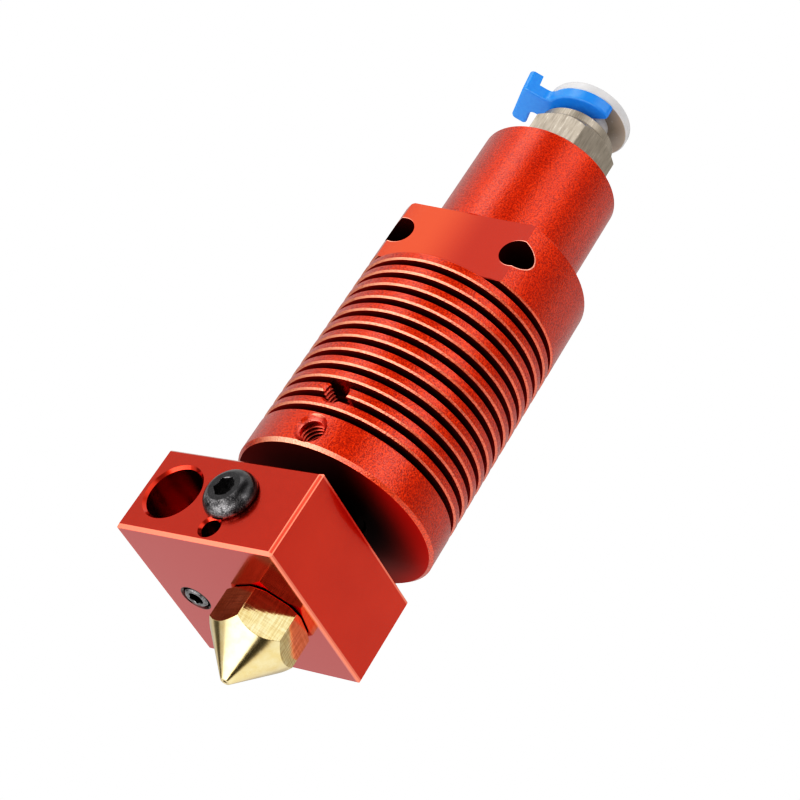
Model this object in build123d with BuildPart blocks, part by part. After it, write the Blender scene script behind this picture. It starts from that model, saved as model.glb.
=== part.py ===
from build123d import *
from math import cos, radians, sin, tan
import os

# Hotend assembly of a filament printer, in millimetres.
# Frame: origin at the centre of the two carriage holes, on the flat that seats on the carriage.
# +Z runs up along the filament path, -Y points out of the flat, +X is to the right seen from
# the flat. Heights are measured from the heatsink's underside and radii from the filament axis.

os.makedirs("parts", exist_ok=True)

# ---------------------------------------------------------------- shared dimensions
FLAT_DISTANCE = 8.1          # filament axis to the carriage flat
HOLE_HEIGHT = 30.4           # carriage holes above the heatsink's underside

SINK_R = 11.0                # fins, band and flange
NECK_TOP = 48.4              # top of the heatsink, where the coupler's hexagon seats
TUBE_BORE_R = 2.1            # feed tube passage
LOCK_LOW = 2.0               # heights of the two radial lock screws
LOCK_HIGH = 6.85

BARREL_R = 3.5               # heatbreak
THROAT_R = 2.05              # bore of the heatbreak and of the collet

BLOCK_TURN = -10.0           # hot block's turn about the filament axis
BLOCK_SIDE = 20.0
BLOCK_HALF = BLOCK_SIDE / 2
BLOCK_THICK = 10.0
BLOCK_TOP = -2.25
BLOCK_BOTTOM = BLOCK_TOP - BLOCK_THICK
CARTRIDGE_X = -10.0          # heater cartridge bore
CARTRIDGE_Z = BLOCK_TOP - BLOCK_THICK / 2
CLAMP_X, CLAMP_Z = -2.6, -6.75          # thermistor screw on the front face
SET_SCREW_Y = 0.4            # cartridge set screw, along the cartridge bore

COUPLER_TOP = 55.35
COUPLER_BOTTOM = 39.9
CAVITY_BOTTOM = 48.0         # floor of the coupler's wide bore

M3_PITCH = 0.5
# male threads: crest radius, root radius, pitch
M3_THREAD = (1.45, 1.18, M3_PITCH)
M6_THREAD = (2.94, 2.42, 1.0)
COUPLER_THREAD = (4.84, 4.25, 0.907)
KEY_R = 0.75                 # socket of the M3 set screws, axis to flat

# ---------------------------------------------------------------- planes and places
Y0 = FLAT_DISTANCE
Z0 = -HOLE_HEIGHT


def along(origin, direction, radial):
    """Section plane (local x along radial, local y along direction) and its revolving axis."""
    plane = Plane(
        origin=tuple(origin),
        x_dir=Vector(*radial),
        z_dir=Vector(*radial).cross(Vector(*direction)),
    )
    return plane, Axis(tuple(origin), tuple(direction))


SECTION, MAIN_AXIS = along((0, Y0, Z0), (0, 0, 1), (1, 0, 0))   # local (radius, height)


def level(height, turn=0.0):
    """Horizontal plane centred on the filament axis, its x axis turned from +X."""
    x_dir = (cos(radians(turn)), sin(radians(turn)), 0)
    return Plane(origin=(0, Y0, Z0 + height), x_dir=x_dir, z_dir=(0, 0, 1))


BLOCK_AXES = level(0, BLOCK_TURN)       # the hot block's own axes
FRONT = -BLOCK_AXES.y_dir               # outward from the block's front face


def in_block(x, y, height):
    """Point given in the hot block's own axes."""
    return BLOCK_AXES.from_local_coords(Vector(x, y, height))


def block_level(x, y, height):
    """Horizontal plane in the hot block's own axes."""
    return Plane(origin=in_block(x, y, height), x_dir=BLOCK_AXES.x_dir, z_dir=(0, 0, 1))


def lock_section(height):
    """Section and axis of a lock screw: local y runs from the filament axis towards -Y."""
    return along((0, Y0, Z0 + height), (0, -1, 0), (1, 0, 0))


def front_section(x, height, y=0):
    """Section and axis normal to the block's front face, running outward from y."""
    return along(in_block(x, y, height), FRONT, (0, 0, 1))


def set_screw_section(height):
    """Section and axis of the cartridge set screw, running down from height."""
    origin = in_block(CARTRIDGE_X, SET_SCREW_Y, height)
    return along(origin, (0, 0, -1), BLOCK_AXES.x_dir)


# ---------------------------------------------------------------- outlines and shared steps
def ring(edge_r, middle_r, start, offsets):
    """Four outline points (radius, height) of one thread ring beginning at start."""
    radii = (edge_r, middle_r, middle_r, edge_r)
    return [(radius, start + offset) for radius, offset in zip(radii, offsets)]


def male_thread(start, end, crest_r, root_r, pitch):
    """Outline of a thread drawn as rings, centred between start and end."""
    count = int((end - start) / pitch)
    first = start + ((end - start) - count * pitch) / 2
    offsets = [part * pitch for part in (0.14, 0.42, 0.58, 0.86)]
    points = [(root_r, start)]
    for i in range(count):
        points += ring(root_r, crest_r, first + i * pitch, offsets)
    return points + [(root_r, end)]


def m3_rings(edge_r, middle_r, start, limit, offsets):
    """Outline of as many M3 rings as fit from start to below limit."""
    points = []
    while start + M3_PITCH < limit:
        points += ring(edge_r, middle_r, start, offsets)
        start += M3_PITCH
    return points


def hole_mouth(radius, end, countersink):
    """Last points of a hole's void: a 45 degree countersink carried past the face at end."""
    overrun = 1.0
    return [
        (radius, end - countersink),
        (radius + countersink + overrun, end + overrun),
        (0, end + overrun),
    ]


def through_hole(radius, low, high):
    """Void of a hole countersunk alike at both faces."""
    low_mouth = [(r, -h) for r, h in hole_mouth(radius, -low, 0.3)]
    return low_mouth[::-1] + hole_mouth(radius, high, 0.3)


def socket_mouth(top, radius):
    """Void of the shallow cone at a key socket's mouth."""
    depth = 0.18
    return [(0, top), (radius, top), (radius - depth, top - depth), (0, top - depth)]


def revolve_outline(points, section=SECTION, axis=MAIN_AXIS, mode=Mode.ADD):
    """Revolve a closed outline into the part being built."""
    with BuildSketch(section) as half_section:
        with BuildLine():
            Polyline(*points, close=True)
        make_face()
    revolve(half_section.sketch, axis=axis, mode=mode)


def rise(edge):
    """Height difference between an edge's ends."""
    return abs((edge @ 1 - edge @ 0).Z)


def save(builder, name):
    """Label a piece and write its STEP file."""
    builder.part.label = name
    export_step(builder.part, f"parts/{name}.step")


# ---------------------------------------------------------------- heatsink
HOLE_SPACING = 14.0          # two M3 clearance holes
HOLE_R = 1.7
CORE_R = 7.2                 # floor of the grooves
BAND_H = 4.0                 # plain band under the fins
FIN_PITCH = 1.8
GROOVE_W = 0.8
GROOVES = 13
FLANGE_BOTTOM = BAND_H + FIN_PITCH * (GROOVES - 1) + GROOVE_W
FLANGE_TOP = 34.4
FLANGE_CHAMFER = 0.2
NECK_R = 8.0
NECK_ROOT = 0.15             # chamfer between neck and flange
RIM_CHAMFER = 0.35
BORE_CHAMFER = 0.3
FIN_CHAMFER = 0.1            # upper edge of each fin
FIN_UNDERCUT = 0.18          # lower edge of each fin
THROAT_BORE_R = 3.55         # bore around the heatbreak's barrel
THROAT_BORE_TOP = 21.0
COUPLER_BORE_R = 4.9
COUPLER_BORE_BOTTOM = 39.2
COUPLER_BORE_CONE = 1.2      # height of the cone under the coupler bore

# lock screw holes, as distances from the filament axis
TAP_CREST, TAP_ROOT = 1.25, 1.52
TAP_START = 1.0
TAP_RINGS_START = 3.5
TAP_MOUTH = SINK_R - 0.1


def groove_outline(low):
    """Outline of one groove and the fin edges beside it, going up from height low."""
    high = low + GROOVE_W
    return [
        (SINK_R, low - FIN_CHAMFER), (SINK_R - FIN_CHAMFER, low), (CORE_R, low),
        (CORE_R, high), (SINK_R - FIN_UNDERCUT, high), (SINK_R, high + FIN_UNDERCUT),
    ]


def tapped_outline(mouth_r):
    """Void of a tapped lock screw hole with a countersink of radius mouth_r."""
    cone_start = TAP_MOUTH - (mouth_r - TAP_CREST)
    setback, overrun = 0.02, 0.35
    end = TAP_MOUTH + overrun + setback
    return [
        (0, TAP_START), (TAP_CREST, TAP_START),
        *m3_rings(TAP_CREST, TAP_ROOT, TAP_RINGS_START, cone_start, (0.05, 0.20, 0.30, 0.45)),
        (TAP_CREST, cone_start + setback), (mouth_r + overrun, end), (0, end),
    ]


sink_outline = [
    (THROAT_BORE_R + BORE_CHAMFER, 0), (SINK_R - RIM_CHAMFER, 0), (SINK_R, RIM_CHAMFER),
]
for k in range(GROOVES):
    sink_outline += groove_outline(BAND_H + k * FIN_PITCH)
sink_outline += [
    (SINK_R, FLANGE_TOP - FLANGE_CHAMFER), (SINK_R - FLANGE_CHAMFER, FLANGE_TOP),
    (NECK_R + NECK_ROOT, FLANGE_TOP), (NECK_R, FLANGE_TOP + NECK_ROOT),
    (NECK_R, NECK_TOP - RIM_CHAMFER), (NECK_R - RIM_CHAMFER, NECK_TOP),
    (COUPLER_BORE_R + BORE_CHAMFER, NECK_TOP), (COUPLER_BORE_R, NECK_TOP - BORE_CHAMFER),
    (COUPLER_BORE_R, COUPLER_BORE_BOTTOM),
    (TUBE_BORE_R, COUPLER_BORE_BOTTOM - COUPLER_BORE_CONE),
    (TUBE_BORE_R, THROAT_BORE_TOP), (THROAT_BORE_R, THROAT_BORE_TOP),
    (THROAT_BORE_R, BORE_CHAMFER),
]

with BuildPart() as heatsink:
    revolve_outline(sink_outline)
    # carriage flat, on the flange only
    with BuildSketch(Plane(origin=(0, 0, Z0 + FLANGE_BOTTOM), z_dir=(0, 0, 1))):
        Rectangle(40, 10, align=(Align.CENTER, Align.MAX))
    extrude(amount=FLANGE_TOP - FLANGE_BOTTOM, mode=Mode.SUBTRACT)
    # carriage holes run through the flange
    with BuildSketch(Plane(origin=(0, -1, 0), x_dir=(1, 0, 0), z_dir=(0, -1, 0))):
        with Locations((-HOLE_SPACING / 2, 0), (HOLE_SPACING / 2, 0)):
            Circle(HOLE_R)
    extrude(amount=-40, mode=Mode.SUBTRACT)
    for height, mouth_r in ((LOCK_LOW, 1.68), (LOCK_HIGH, 1.50)):
        revolve_outline(tapped_outline(mouth_r), *lock_section(height), mode=Mode.SUBTRACT)
save(heatsink, "heatsink")

# ---------------------------------------------------------------- heatbreak
BREAK_BOTTOM = -7.2
BREAK_NECK_R = 2.42
BARREL_BOTTOM = 0.4
BARREL_TOP = 20.75
BARREL_LOW_CHAMFER = 0.25
BARREL_TOP_CHAMFER = 0.4
THROAT_FLARE = 0.5           # at the top of the bore

with BuildPart() as heatbreak:
    revolve_outline([
        (THROAT_R, BREAK_BOTTOM), (2.35, BREAK_BOTTOM),
        *male_thread(BREAK_BOTTOM + 0.3, BLOCK_TOP - 0.2, *M6_THREAD),
        (BREAK_NECK_R, BLOCK_TOP - 0.05), (BREAK_NECK_R, BARREL_BOTTOM),
        (BARREL_R - BARREL_LOW_CHAMFER, BARREL_BOTTOM),
        (BARREL_R, BARREL_BOTTOM + BARREL_LOW_CHAMFER),
        (BARREL_R, BARREL_TOP - BARREL_TOP_CHAMFER),
        (BARREL_R - BARREL_TOP_CHAMFER, BARREL_TOP),
        (THROAT_R + THROAT_FLARE, BARREL_TOP), (THROAT_R, BARREL_TOP - THROAT_FLARE),
    ])
save(heatbreak, "heatbreak")

# ---------------------------------------------------------------- lock screws beside the barrel
LOCK_TIP = BARREL_R + 0.03   # distances from the filament axis
LOCK_HEAD = LOCK_TIP + 4.0
LOCK_RINGS_START = 4.0
LOCK_ROOT, LOCK_CREST = 1.19, 1.46
LOCK_SOCKET_DEPTH = 1.6

lock_outline = [
    (0, LOCK_TIP), (0.6, LOCK_TIP), (1.15, LOCK_TIP + 0.45),
    *m3_rings(LOCK_ROOT, LOCK_CREST, LOCK_RINGS_START, LOCK_HEAD - 0.2, (0.07, 0.22, 0.28, 0.43)),
    (LOCK_ROOT, LOCK_HEAD - 0.15), (1.05, LOCK_HEAD), (0, LOCK_HEAD),
]

with BuildPart() as heatbreak_lock_screws:
    for height in (LOCK_LOW, LOCK_HIGH):
        revolve_outline(lock_outline, *lock_section(height))
    # hexagonal key sockets
    for height in (LOCK_LOW, LOCK_HIGH):
        head_centre = (0, Y0 - LOCK_HEAD, Z0 + height)
        with BuildSketch(Plane(origin=head_centre, x_dir=(1, 0, 0), z_dir=(0, -1, 0))):
            RegularPolygon(radius=KEY_R, side_count=6, major_radius=False)
        extrude(amount=-LOCK_SOCKET_DEPTH, mode=Mode.SUBTRACT)
save(heatbreak_lock_screws, "heatbreak_lock_screws")

# ---------------------------------------------------------------- heater block
BLOCK_LEFT = -14.15          # block's left side from the filament axis
BLOCK_CHAMFER = 0.35         # upright edges, and those along the front and back
BLOCK_BREAK = 0.14           # edges along the two sides
CARTRIDGE_R = 3.05           # bore for a 6 mm heater cartridge
M3_TAP_R = 1.5
M6_TAP_R = 3.0
DRILL_POINT = 0.6
# blind holes in the front face: x, height, radius, depth, countersink
FRONT_HOLES = (
    (-2.85, -10.46, 1.0, 7.0, 0.27),            # thermistor
    (CLAMP_X, CLAMP_Z, M3_TAP_R, 6.0, 0.2),     # thermistor screw
)

with BuildPart() as heater_block:
    with BuildSketch(block_level(BLOCK_LEFT + BLOCK_HALF, 0, BLOCK_BOTTOM)):
        Rectangle(BLOCK_SIDE, BLOCK_SIDE)
    extrude(amount=BLOCK_THICK)
    level_edges = heater_block.edges().filter_by(lambda e: rise(e) < 0.01)
    chamfer(level_edges.filter_by(lambda e: abs((e % 0.5).dot(FRONT)) < 0.1), BLOCK_CHAMFER)
    side_edges = heater_block.edges().filter_by(
        lambda e: abs((e % 0.5).dot(FRONT)) > 0.99 and e.length > 15
    )
    chamfer(side_edges, BLOCK_BREAK)
    upright_edges = heater_block.edges().filter_by(
        lambda e: abs((e % 0.5).Z) > 0.99 and e.length > 8
    )
    chamfer(upright_edges, BLOCK_CHAMFER)
    # M6 through hole: heatbreak from above, nozzle from below
    revolve_outline(through_hole(M6_TAP_R, BLOCK_BOTTOM, BLOCK_TOP), mode=Mode.SUBTRACT)
    # heater cartridge bore
    revolve_outline(
        through_hole(CARTRIDGE_R, -BLOCK_HALF, BLOCK_HALF),
        *front_section(CARTRIDGE_X, CARTRIDGE_Z),
        mode=Mode.SUBTRACT,
    )
    for x, height, radius, depth, countersink in FRONT_HOLES:
        floor = BLOCK_HALF - depth
        revolve_outline(
            [(0, floor - DRILL_POINT), (radius, floor),
             *hole_mouth(radius, BLOCK_HALF, countersink)],
            *front_section(x, height),
            mode=Mode.SUBTRACT,
        )
    # tapped hole of the cartridge set screw, from the underside into the cartridge bore
    revolve_outline(
        [(0, 0.5), (M3_TAP_R, 0.5), *hole_mouth(M3_TAP_R, BLOCK_THICK / 2, 0.16)],
        *set_screw_section(CARTRIDGE_Z),
        mode=Mode.SUBTRACT,
    )
save(heater_block, "heater_block")

# ---------------------------------------------------------------- thermistor screw: M3 x 5 button head
SHANK = 5.0
HEAD_H = 1.66
HEAD_BASE = 0.01             # head's underside above the block face
HEAD_R = 2.85
DOME_START = (HEAD_R, 0.35)
DOME_MIDDLE = (2.51, 1.12)
DOME_END = (1.72, HEAD_H)
clamp_section, clamp_axis = front_section(CLAMP_X, CLAMP_Z, -BLOCK_HALF)
clamp_head = Plane(
    origin=in_block(CLAMP_X, -BLOCK_HALF - HEAD_H, CLAMP_Z), x_dir=BLOCK_AXES.x_dir, z_dir=FRONT
)

with BuildPart() as thermistor_screw:
    with BuildSketch(clamp_section):
        with BuildLine():
            Polyline(
                (0, HEAD_BASE), (0, -SHANK), (1.0, -SHANK),
                *male_thread(-SHANK + 0.3, -0.4, *M3_THREAD),
                (1.35, HEAD_BASE), (HEAD_R - 0.15, HEAD_BASE), (HEAD_R, 0.15), DOME_START,
            )
            ThreePointArc(DOME_START, DOME_MIDDLE, DOME_END)
            Polyline(DOME_END, (0, HEAD_H), (0, HEAD_BASE))
        make_face()
    revolve(axis=clamp_axis)
    with BuildSketch(clamp_head):
        RegularPolygon(radius=1.03, side_count=6, major_radius=False, rotation=14)
    extrude(amount=-1.1, mode=Mode.SUBTRACT)
    revolve_outline(
        socket_mouth(HEAD_H + 0.04, 1.16), clamp_section, clamp_axis, mode=Mode.SUBTRACT
    )
save(thermistor_screw, "thermistor_screw")

# ---------------------------------------------------------------- cartridge set screw: M3 x 2
SET_SCREW_LENGTH = 2.0
PROUD = 0.07                 # stands out below the block
SET_SCREW_TIP = PROUD - SET_SCREW_LENGTH
set_screw_end = Plane(
    origin=in_block(CARTRIDGE_X, SET_SCREW_Y, BLOCK_BOTTOM - PROUD),
    x_dir=BLOCK_AXES.x_dir,
    z_dir=(0, 0, -1),
)

with BuildPart() as cartridge_set_screw:
    revolve_outline(
        [
            (0, SET_SCREW_TIP), (1.0, SET_SCREW_TIP), (1.18, SET_SCREW_TIP + 0.18),
            *male_thread(-1.7, PROUD - 0.3, *M3_THREAD),
            (1.36, PROUD - 0.2), (1.36, PROUD - 0.16), (1.2, PROUD), (0, PROUD),
        ],
        *set_screw_section(BLOCK_BOTTOM),
    )
    with BuildSketch(set_screw_end):
        RegularPolygon(radius=KEY_R, side_count=6, major_radius=False, rotation=8)
    extrude(amount=-1.3, mode=Mode.SUBTRACT)
    revolve_outline(
        socket_mouth(PROUD + 0.05, 0.9), *set_screw_section(BLOCK_BOTTOM), mode=Mode.SUBTRACT
    )
save(cartridge_set_screw, "cartridge_set_screw")

# ---------------------------------------------------------------- nozzle
NOZZLE_TIP = -20.55
NOZZLE_FLATS = 8.0
NOZZLE_HEX_TURN = -16.5      # in the block's own axes
NOZZLE_HEX_TOP = BLOCK_BOTTOM - 0.12
NOZZLE_THREAD_TOP = -7.35
CONE_HALF_ANGLE = 41.0
TIP_R = 0.5
ORIFICE_R = 0.2
CHAMBER_R = 1.0
nozzle_corner_r = NOZZLE_FLATS / 2 / cos(radians(30))
cone_end = NOZZLE_TIP + (nozzle_corner_r - TIP_R) / tan(radians(CONE_HALF_ANGLE))

with BuildPart() as nozzle:
    with BuildSketch(block_level(0, 0, NOZZLE_TIP)):
        RegularPolygon(
            radius=NOZZLE_FLATS / 2, side_count=6, major_radius=False, rotation=NOZZLE_HEX_TURN
        )
    extrude(amount=NOZZLE_HEX_TOP - NOZZLE_TIP)
    # cone below the hexagon and chamfered corners above
    revolve_outline(
        [
            (0, NOZZLE_TIP), (TIP_R, NOZZLE_TIP), (nozzle_corner_r + 0.01, cone_end),
            (nozzle_corner_r + 0.01, NOZZLE_HEX_TOP - 0.25),
            (nozzle_corner_r - 0.45, NOZZLE_HEX_TOP), (0, NOZZLE_HEX_TOP),
        ],
        mode=Mode.INTERSECT,
    )
    revolve_outline([
        (0, NOZZLE_HEX_TOP - 0.5), (2.45, NOZZLE_HEX_TOP - 0.5),
        *male_thread(NOZZLE_HEX_TOP + 0.6, NOZZLE_THREAD_TOP - 0.15, *M6_THREAD),
        (2.3, NOZZLE_THREAD_TOP), (0, NOZZLE_THREAD_TOP),
    ])
    # melt chamber and orifice
    revolve_outline(
        [
            (0, NOZZLE_TIP - 0.1), (ORIFICE_R, NOZZLE_TIP - 0.1), (ORIFICE_R, NOZZLE_TIP + 0.8),
            (CHAMBER_R, NOZZLE_TIP + 2.2), (CHAMBER_R, NOZZLE_THREAD_TOP - 0.4),
            (CHAMBER_R + 0.4, NOZZLE_THREAD_TOP + 0.1), (0, NOZZLE_THREAD_TOP + 0.1),
        ],
        mode=Mode.SUBTRACT,
    )
save(nozzle, "nozzle")

# ---------------------------------------------------------------- push-fit coupler body
COUPLER_FLATS = 10.0
COUPLER_HEX_TURN = -54.3     # azimuth of one corner
COUPLER_HEX_TOP = 52.75      # corners; the facets rise a little higher under the crown
CROWN_R = 4.5
CAVITY_R = 3.6
COUPLER_TUBE_R = TUBE_BORE_R + 0.05
coupler_corner_r = COUPLER_FLATS / 2 / cos(radians(30))

with BuildPart() as coupler_body:
    with BuildSketch(level(NECK_TOP)):
        RegularPolygon(
            radius=COUPLER_FLATS / 2, side_count=6, major_radius=False, rotation=COUPLER_HEX_TURN
        )
    extrude(amount=COUPLER_TOP - NECK_TOP)
    # chamfered corners and the round crown
    revolve_outline(
        [
            (0, NECK_TOP), (coupler_corner_r - 0.35, NECK_TOP),
            (coupler_corner_r + 0.01, NECK_TOP + 0.25), (coupler_corner_r + 0.01, COUPLER_HEX_TOP),
            (CROWN_R + 0.12, COUPLER_HEX_TOP + 1.3), (CROWN_R, COUPLER_HEX_TOP + 1.38),
            (CROWN_R, COUPLER_TOP - 0.25), (CROWN_R - 0.25, COUPLER_TOP), (0, COUPLER_TOP),
        ],
        mode=Mode.INTERSECT,
    )
    # threaded stem
    revolve_outline([
        (0, COUPLER_BOTTOM), (4.1, COUPLER_BOTTOM),
        *male_thread(COUPLER_BOTTOM + 0.25, NECK_TOP - 0.7, *COUPLER_THREAD),
        (4.25, NECK_TOP + 0.3), (0, NECK_TOP + 0.3),
    ])
    # tube passage and the wide bore above it
    revolve_outline(
        [
            (0, COUPLER_BOTTOM - 1), (COUPLER_TUBE_R + 0.5, COUPLER_BOTTOM - 1),
            (COUPLER_TUBE_R + 0.5, COUPLER_BOTTOM), (COUPLER_TUBE_R, COUPLER_BOTTOM + 0.5),
            (COUPLER_TUBE_R, CAVITY_BOTTOM), (CAVITY_R, CAVITY_BOTTOM),
            (CAVITY_R, COUPLER_TOP - 0.2), (CAVITY_R + 0.2, COUPLER_TOP),
            (CAVITY_R + 0.2, COUPLER_TOP + 1), (0, COUPLER_TOP + 1),
        ],
        mode=Mode.SUBTRACT,
    )
save(coupler_body, "coupler_body")

# ---------------------------------------------------------------- rings inside the coupler
INNER_RING_R = 3.57          # outside of the backup and grip rings
STACK_GAP = 0.02             # backup ring to grip ring, and grip ring to retainer
GRIP_BOTTOM = CAVITY_BOTTOM + 2.77
GRIP_TOP = GRIP_BOTTOM + 0.23
TEETH_ROOT_R = 3.0
TEETH_TIP_R = 1.97
TEETH_DROP = 0.5             # teeth slope down towards the tube

# O-ring
with BuildPart() as coupler_seal_ring:
    with BuildSketch(SECTION):
        with Locations((2.72, CAVITY_BOTTOM + 0.84)):
            Circle(0.82)
    revolve(axis=MAIN_AXIS)
save(coupler_seal_ring, "coupler_seal_ring")

# backup ring between the seal and the teeth
backup_bottom = CAVITY_BOTTOM + 1.7
backup_top = GRIP_BOTTOM - STACK_GAP
with BuildPart() as coupler_backup_ring:
    revolve_outline([
        (2.15, backup_bottom), (INNER_RING_R, backup_bottom), (INNER_RING_R, backup_top),
        (3.05, backup_top), (2.15, backup_bottom + 0.35),
    ])
save(coupler_backup_ring, "coupler_backup_ring")

# grip ring: spring steel with inward teeth
with BuildPart() as coupler_grip_ring:
    revolve_outline([
        (INNER_RING_R, GRIP_BOTTOM), (INNER_RING_R, GRIP_TOP), (TEETH_ROOT_R, GRIP_TOP),
        (TEETH_TIP_R, GRIP_TOP - TEETH_DROP), (TEETH_TIP_R, GRIP_BOTTOM - TEETH_DROP),
        (TEETH_ROOT_R, GRIP_BOTTOM),
    ])
    # slots part the teeth
    with BuildSketch(level(CAVITY_BOTTOM + 2.0)):
        with PolarLocations(2.3, 8):
            Rectangle(1.5, 0.45)
    extrude(amount=1.5, mode=Mode.SUBTRACT)
save(coupler_grip_ring, "coupler_grip_ring")

# ---------------------------------------------------------------- retainer sleeve in the mouth
COLLET_R = 2.7
RETAINER_R = 3.59
RETAINER_BORE_R = 3.15
retainer_bottom = GRIP_TOP + STACK_GAP
retainer_top = COUPLER_TOP - 0.1
lip_bottom = COUPLER_TOP - 1.45
lip_r = COLLET_R + 0.08

with BuildPart() as coupler_retainer:
    revolve_outline([
        (RETAINER_BORE_R, retainer_bottom), (RETAINER_R, retainer_bottom),
        (RETAINER_R, retainer_top), (2.98, retainer_top), (lip_r, COUPLER_TOP - 0.3),
        (lip_r, lip_bottom), (RETAINER_BORE_R, lip_bottom),
    ])
save(coupler_retainer, "coupler_retainer")

# ---------------------------------------------------------------- release collet
COLLET_BOTTOM = 52.2
BARB_R = 3.05
BARB_TOP = COUPLER_TOP - 1.5
DISC_R = 5.0
DISC_BOTTOM = 57.8
DISC_CHAMFER = 0.15
COLLET_TOP = 59.1
COLLET_FLARE = 0.45          # at the top of the bore
RIM_START = (DISC_R, COLLET_TOP - 0.4)
RIM_MIDDLE = (DISC_R - 0.13, COLLET_TOP - 0.12)
RIM_END = (DISC_R - 0.42, COLLET_TOP)

with BuildPart() as release_collet:
    with BuildSketch(SECTION):
        with BuildLine():
            Polyline(
                (THROAT_R, COLLET_TOP - COLLET_FLARE), (THROAT_R, COLLET_BOTTOM + 0.2),
                (THROAT_R + 0.15, COLLET_BOTTOM), (2.4, COLLET_BOTTOM),
                (BARB_R, BARB_TOP - 0.45), (BARB_R, BARB_TOP), (COLLET_R, BARB_TOP),
                (COLLET_R, DISC_BOTTOM), (DISC_R - DISC_CHAMFER, DISC_BOTTOM),
                (DISC_R, DISC_BOTTOM + DISC_CHAMFER),
            )
            Line((DISC_R, DISC_BOTTOM + DISC_CHAMFER), RIM_START)
            ThreePointArc(RIM_START, RIM_MIDDLE, RIM_END)
            Polyline(
                RIM_END, (THROAT_R + COLLET_FLARE, COLLET_TOP),
                (THROAT_R, COLLET_TOP - COLLET_FLARE),
            )
        make_face()
    revolve(axis=MAIN_AXIS)
    # two crossed slots let the barbed end spring in
    with BuildSketch(level(52.0)):
        Rectangle(7, 0.5)
        Rectangle(0.5, 7)
    extrude(amount=3.0, mode=Mode.SUBTRACT)
save(release_collet, "release_collet")

# ---------------------------------------------------------------- locking clip under the collet's rim
CLIP_BOTTOM = 56.35
CLIP_TOP = 57.75
CLIP_R = 5.0
CLIP_SLOT = 2.76             # seat radius, and half the width of the mouth
CLIP_TURN = -150.0           # azimuth of the clip's stem, its local x axis
ARM_END = 122.0              # each arm's tip, from the stem
LEAD_START = -0.6            # local x where the mouth begins to change width
LEAD_END = -7.0
STEM_NEAR, STEM_FAR = 1.7, -1.5         # local y of the stem's two sides
TAB_END = -4.0               # thumb tab is flush with the stem's near side and runs to here
TAB_TOP = 59.25
# leaning thumb tab: local x, height
TAB_OUTLINE = (
    (5.9, CLIP_BOTTOM), (7.9, CLIP_BOTTOM), (8.22, TAB_TOP), (6.62, TAB_TOP), (6.45, CLIP_TOP),
)

clip_plane = level(CLIP_BOTTOM, CLIP_TURN)
tab_plane = Plane(
    origin=clip_plane.from_local_coords(Vector(0, STEM_NEAR, -CLIP_BOTTOM)),
    x_dir=clip_plane.x_dir,
    z_dir=clip_plane.y_dir * -1,
)   # local y is the height
tip_x, tip_y = CLIP_R * cos(radians(ARM_END)), CLIP_R * sin(radians(ARM_END))
lead_slope = (tip_y - CLIP_SLOT) / (LEAD_START - tip_x)
lead_end_y = CLIP_SLOT + lead_slope * (LEAD_START - LEAD_END)


def spot(edge):
    """Centre of an edge in the clip's own axes."""
    return clip_plane.to_local_coords(edge.center())


with BuildPart() as collet_clip:
    with BuildSketch(clip_plane):
        Circle(CLIP_R)
        with Locations((4.9, (STEM_NEAR + STEM_FAR) / 2)):
            Rectangle(3.4, STEM_NEAR - STEM_FAR)
        # round seat, then a mouth with lead-ins that lets the clip slide off the collet
        Circle(CLIP_SLOT, mode=Mode.SUBTRACT)
        with BuildLine():
            Polyline(
                (0, CLIP_SLOT), (LEAD_START, CLIP_SLOT), (LEAD_END, lead_end_y),
                (LEAD_END, -lead_end_y), (LEAD_START, -CLIP_SLOT), (0, -CLIP_SLOT), close=True,
            )
        make_face(mode=Mode.SUBTRACT)
    extrude(amount=CLIP_TOP - CLIP_BOTTOM)
    # arm tips
    fillet(collet_clip.edges().filter_by(Axis.Z).filter_by(lambda e: spot(e).X < -2.0), 0.62)
    # stem roots, near side then far side
    roots = collet_clip.edges().filter_by(Axis.Z).filter_by(lambda e: 4.3 < spot(e).X < 5.2)
    fillet(roots.filter_by(lambda e: spot(e).Y > 0), 1.1)
    roots = collet_clip.edges().filter_by(Axis.Z).filter_by(
        lambda e: 4.3 < spot(e).X < 5.2 and spot(e).Y < -1.0
    )
    fillet(roots.sort_by(lambda e: spot(e).X)[-1:], 0.5)
    with BuildSketch(tab_plane):
        with BuildLine():
            Polyline(*TAB_OUTLINE, close=True)
        make_face()
    extrude(amount=STEM_NEAR - TAB_END)
    # inner corner between the stem's far side and the tab
    notch = collet_clip.edges().filter_by(
        lambda e: 5.7 < spot(e).X < 6.7
        and abs(spot(e).Y - STEM_FAR) < 0.05
        and e.length > 1.2
        and rise(e) > 1.0
    )
    fillet(notch, 0.5)
    # tab's outer corners, then the remaining one at its end
    fillet(collet_clip.edges().filter_by(lambda e: spot(e).X > 7.7 and rise(e) > 1.0), 0.55)
    end_corners = collet_clip.edges().filter_by(
        lambda e: abs(spot(e).Y - TAB_END) < 0.05 and spot(e).X < 7.0 and rise(e) > 1.0
    )
    fillet(end_corners, 0.4)
    # tab's top, then the underside's edges around the stem and the outside
    fillet(collet_clip.faces().sort_by(Axis.Z)[-1].edges(), 0.28)
    underside = collet_clip.faces().sort_by(Axis.Z)[0].edges().filter_by(
        lambda e: spot(e).X > 0.5 and (spot(e).X > 3.4 or abs(spot(e).Y) > 3.0)
    )
    fillet(underside, 0.3)
save(collet_clip, "collet_clip")
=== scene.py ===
"""Finishes and studio for a printer hot end.

The filament axis is upright along Z: the heatsink and its coupler are on top, the heater block
and the nozzle hang below. The heatsink's milled flat and tapped holes face -Y. The camera looks
up from below, from the -Y side and a little towards +X.
The CAD is in metres; materials work in millimetres from the filament axis and the underside
of the heatsink.
"""
import math

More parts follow.
